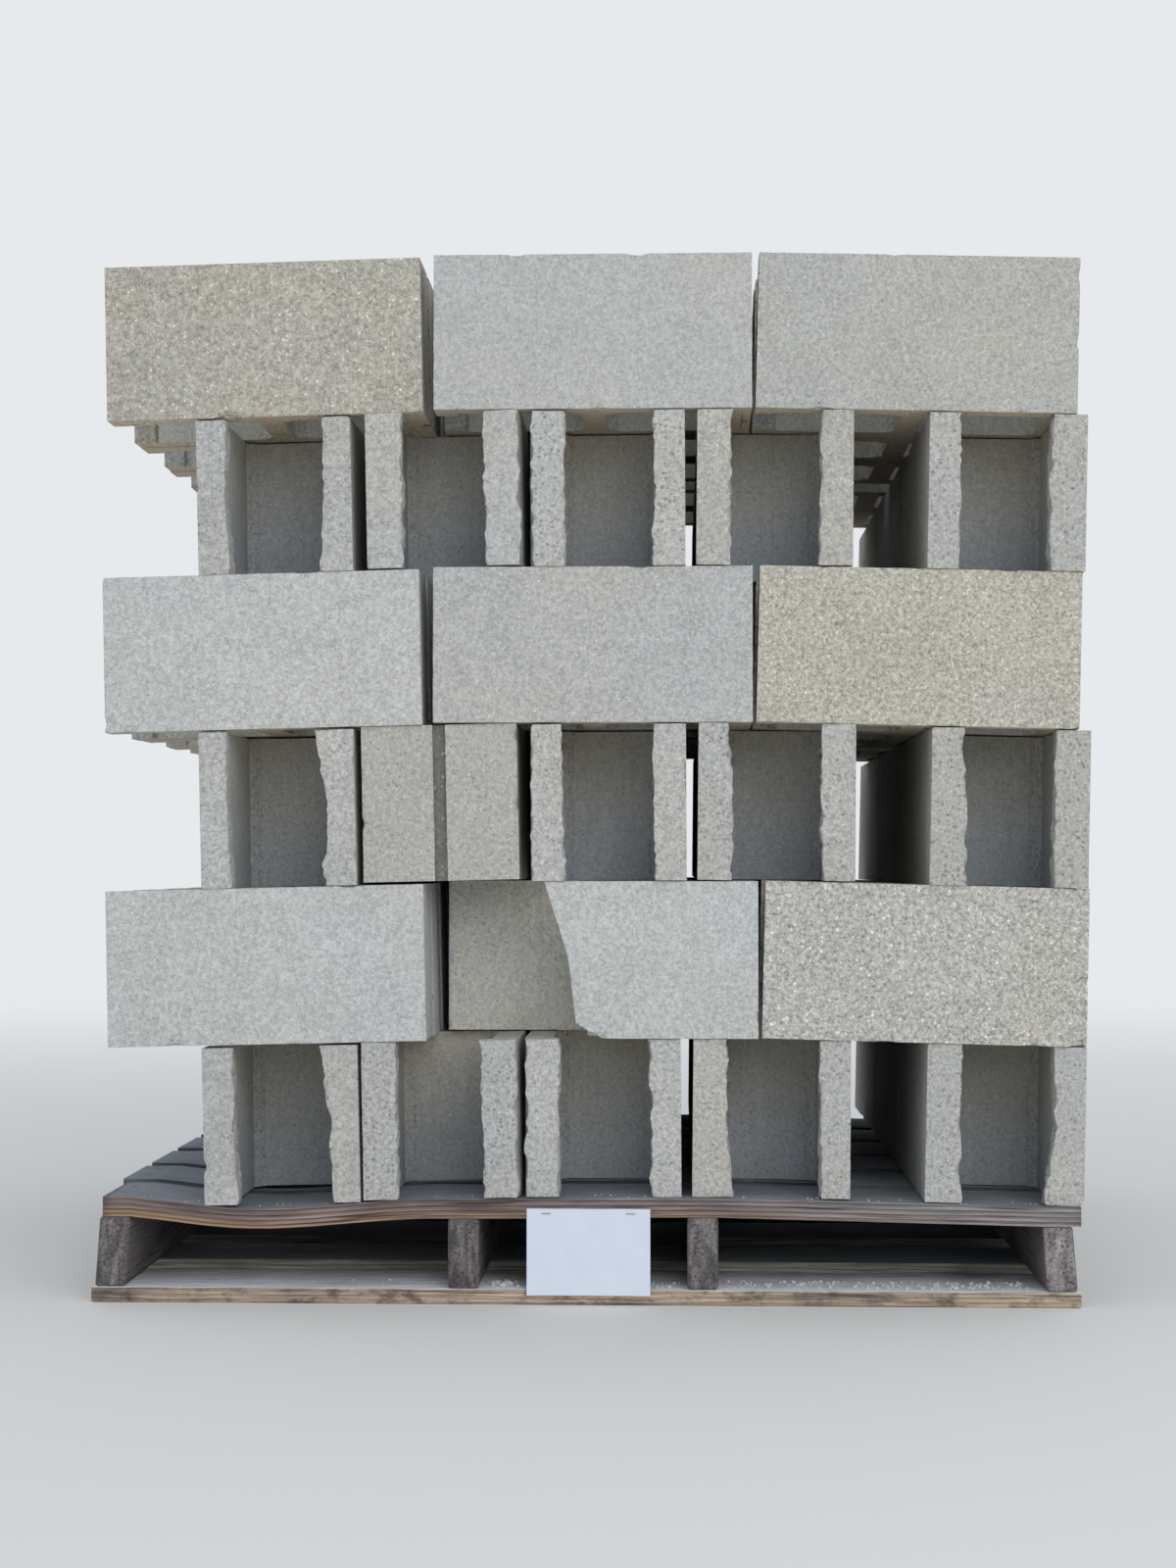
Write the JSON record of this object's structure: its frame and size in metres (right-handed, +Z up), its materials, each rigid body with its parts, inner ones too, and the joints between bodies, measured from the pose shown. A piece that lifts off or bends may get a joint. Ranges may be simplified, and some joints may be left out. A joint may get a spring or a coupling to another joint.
{
  "type": "pallet of concrete blocks",
  "caption": "Weathered wooden pallet loaded with courses of grey open-end concrete blocks laid crosswise, one block with a broken face shell, and a blank paper tag on the pallet.",
  "frame": {"origin": "centre of the pallet's footprint, on the floor", "axes": "+X to the right as one faces the front of the load, +Y from the front to the back, +Z up"},
  "size_m": [1.2346, 1.2065, 1.3025],
  "materials": {
    "concrete": "matte",
    "pallet_wood": "matte",
    "paper": "matte"
  },
  "bodies": {
    "root": {"bottom_board_1": "pallet_wood", "bottom_board_2": "pallet_wood", "bottom_board_3": "pallet_wood", "bottom_board_4": "pallet_wood", "bottom_board_5": "pallet_wood", "course_1_column_1": "concrete", "course_1_column_2": "concrete", "course_1_column_3": "concrete", "course_1_column_4": "concrete", "course_1_column_5": "concrete", "course_2_row_1": "concrete", "course_2_row_2": "concrete", "course_2_row_3": "concrete", "course_2_row_4": "concrete", "course_2_row_5": "concrete", "course_3_column_1": "concrete", "course_3_column_2": "concrete", "course_3_column_3": "concrete", "course_3_column_4": "concrete", "course_3_column_5": "concrete", "course_4_row_1": "concrete", "course_4_row_2": "concrete", "course_4_row_3": "concrete", "course_4_row_4": "concrete", "course_4_row_5": "concrete", "course_5_column_1": "concrete", "course_5_column_2": "concrete", "course_5_column_3": "concrete", "course_5_column_4": "concrete", "course_5_column_5": "concrete", "course_6_row_1": "concrete", "course_6_row_2": "concrete", "course_6_row_3": "concrete", "course_6_row_4": "concrete", "course_6_row_5": "concrete", "deck_board_1": "pallet_wood", "deck_board_2": "pallet_wood", "deck_board_3": "pallet_wood", "deck_board_4": "pallet_wood", "deck_board_5": "pallet_wood", "deck_board_6": "pallet_wood", "paper_tag": "paper", "stringer_1": "pallet_wood", "stringer_2": "pallet_wood", "stringer_3": "pallet_wood", "stringer_4": "pallet_wood"}
  },
  "joints": []
}
